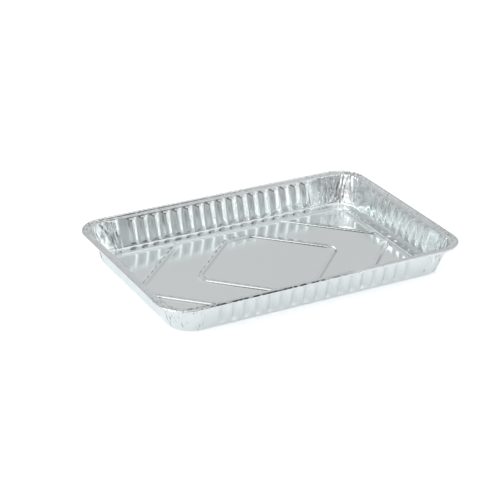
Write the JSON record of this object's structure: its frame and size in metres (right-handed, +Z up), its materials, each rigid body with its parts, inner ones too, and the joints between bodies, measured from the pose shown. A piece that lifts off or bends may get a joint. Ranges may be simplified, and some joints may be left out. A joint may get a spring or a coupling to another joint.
{
  "type": "foil baking tray",
  "caption": "Shallow rectangular baking tray pressed from one sheet of aluminium foil, with ribbed walls, pleated corners, floor beads and a rolled rim.",
  "frame": {"origin": "middle of the tray's length and width, on the plane it stands on", "axes": "+X along the tray's length, +Y across its width, +Z up out of its mouth"},
  "size_m": [0.3238, 0.2252, 0.0317],
  "materials": {
    "foil": "bright rolled foil with a fine satin grain, crumpled at the corners"
  },
  "bodies": {
    "root": {"foil_tray": "foil"}
  },
  "joints": []
}
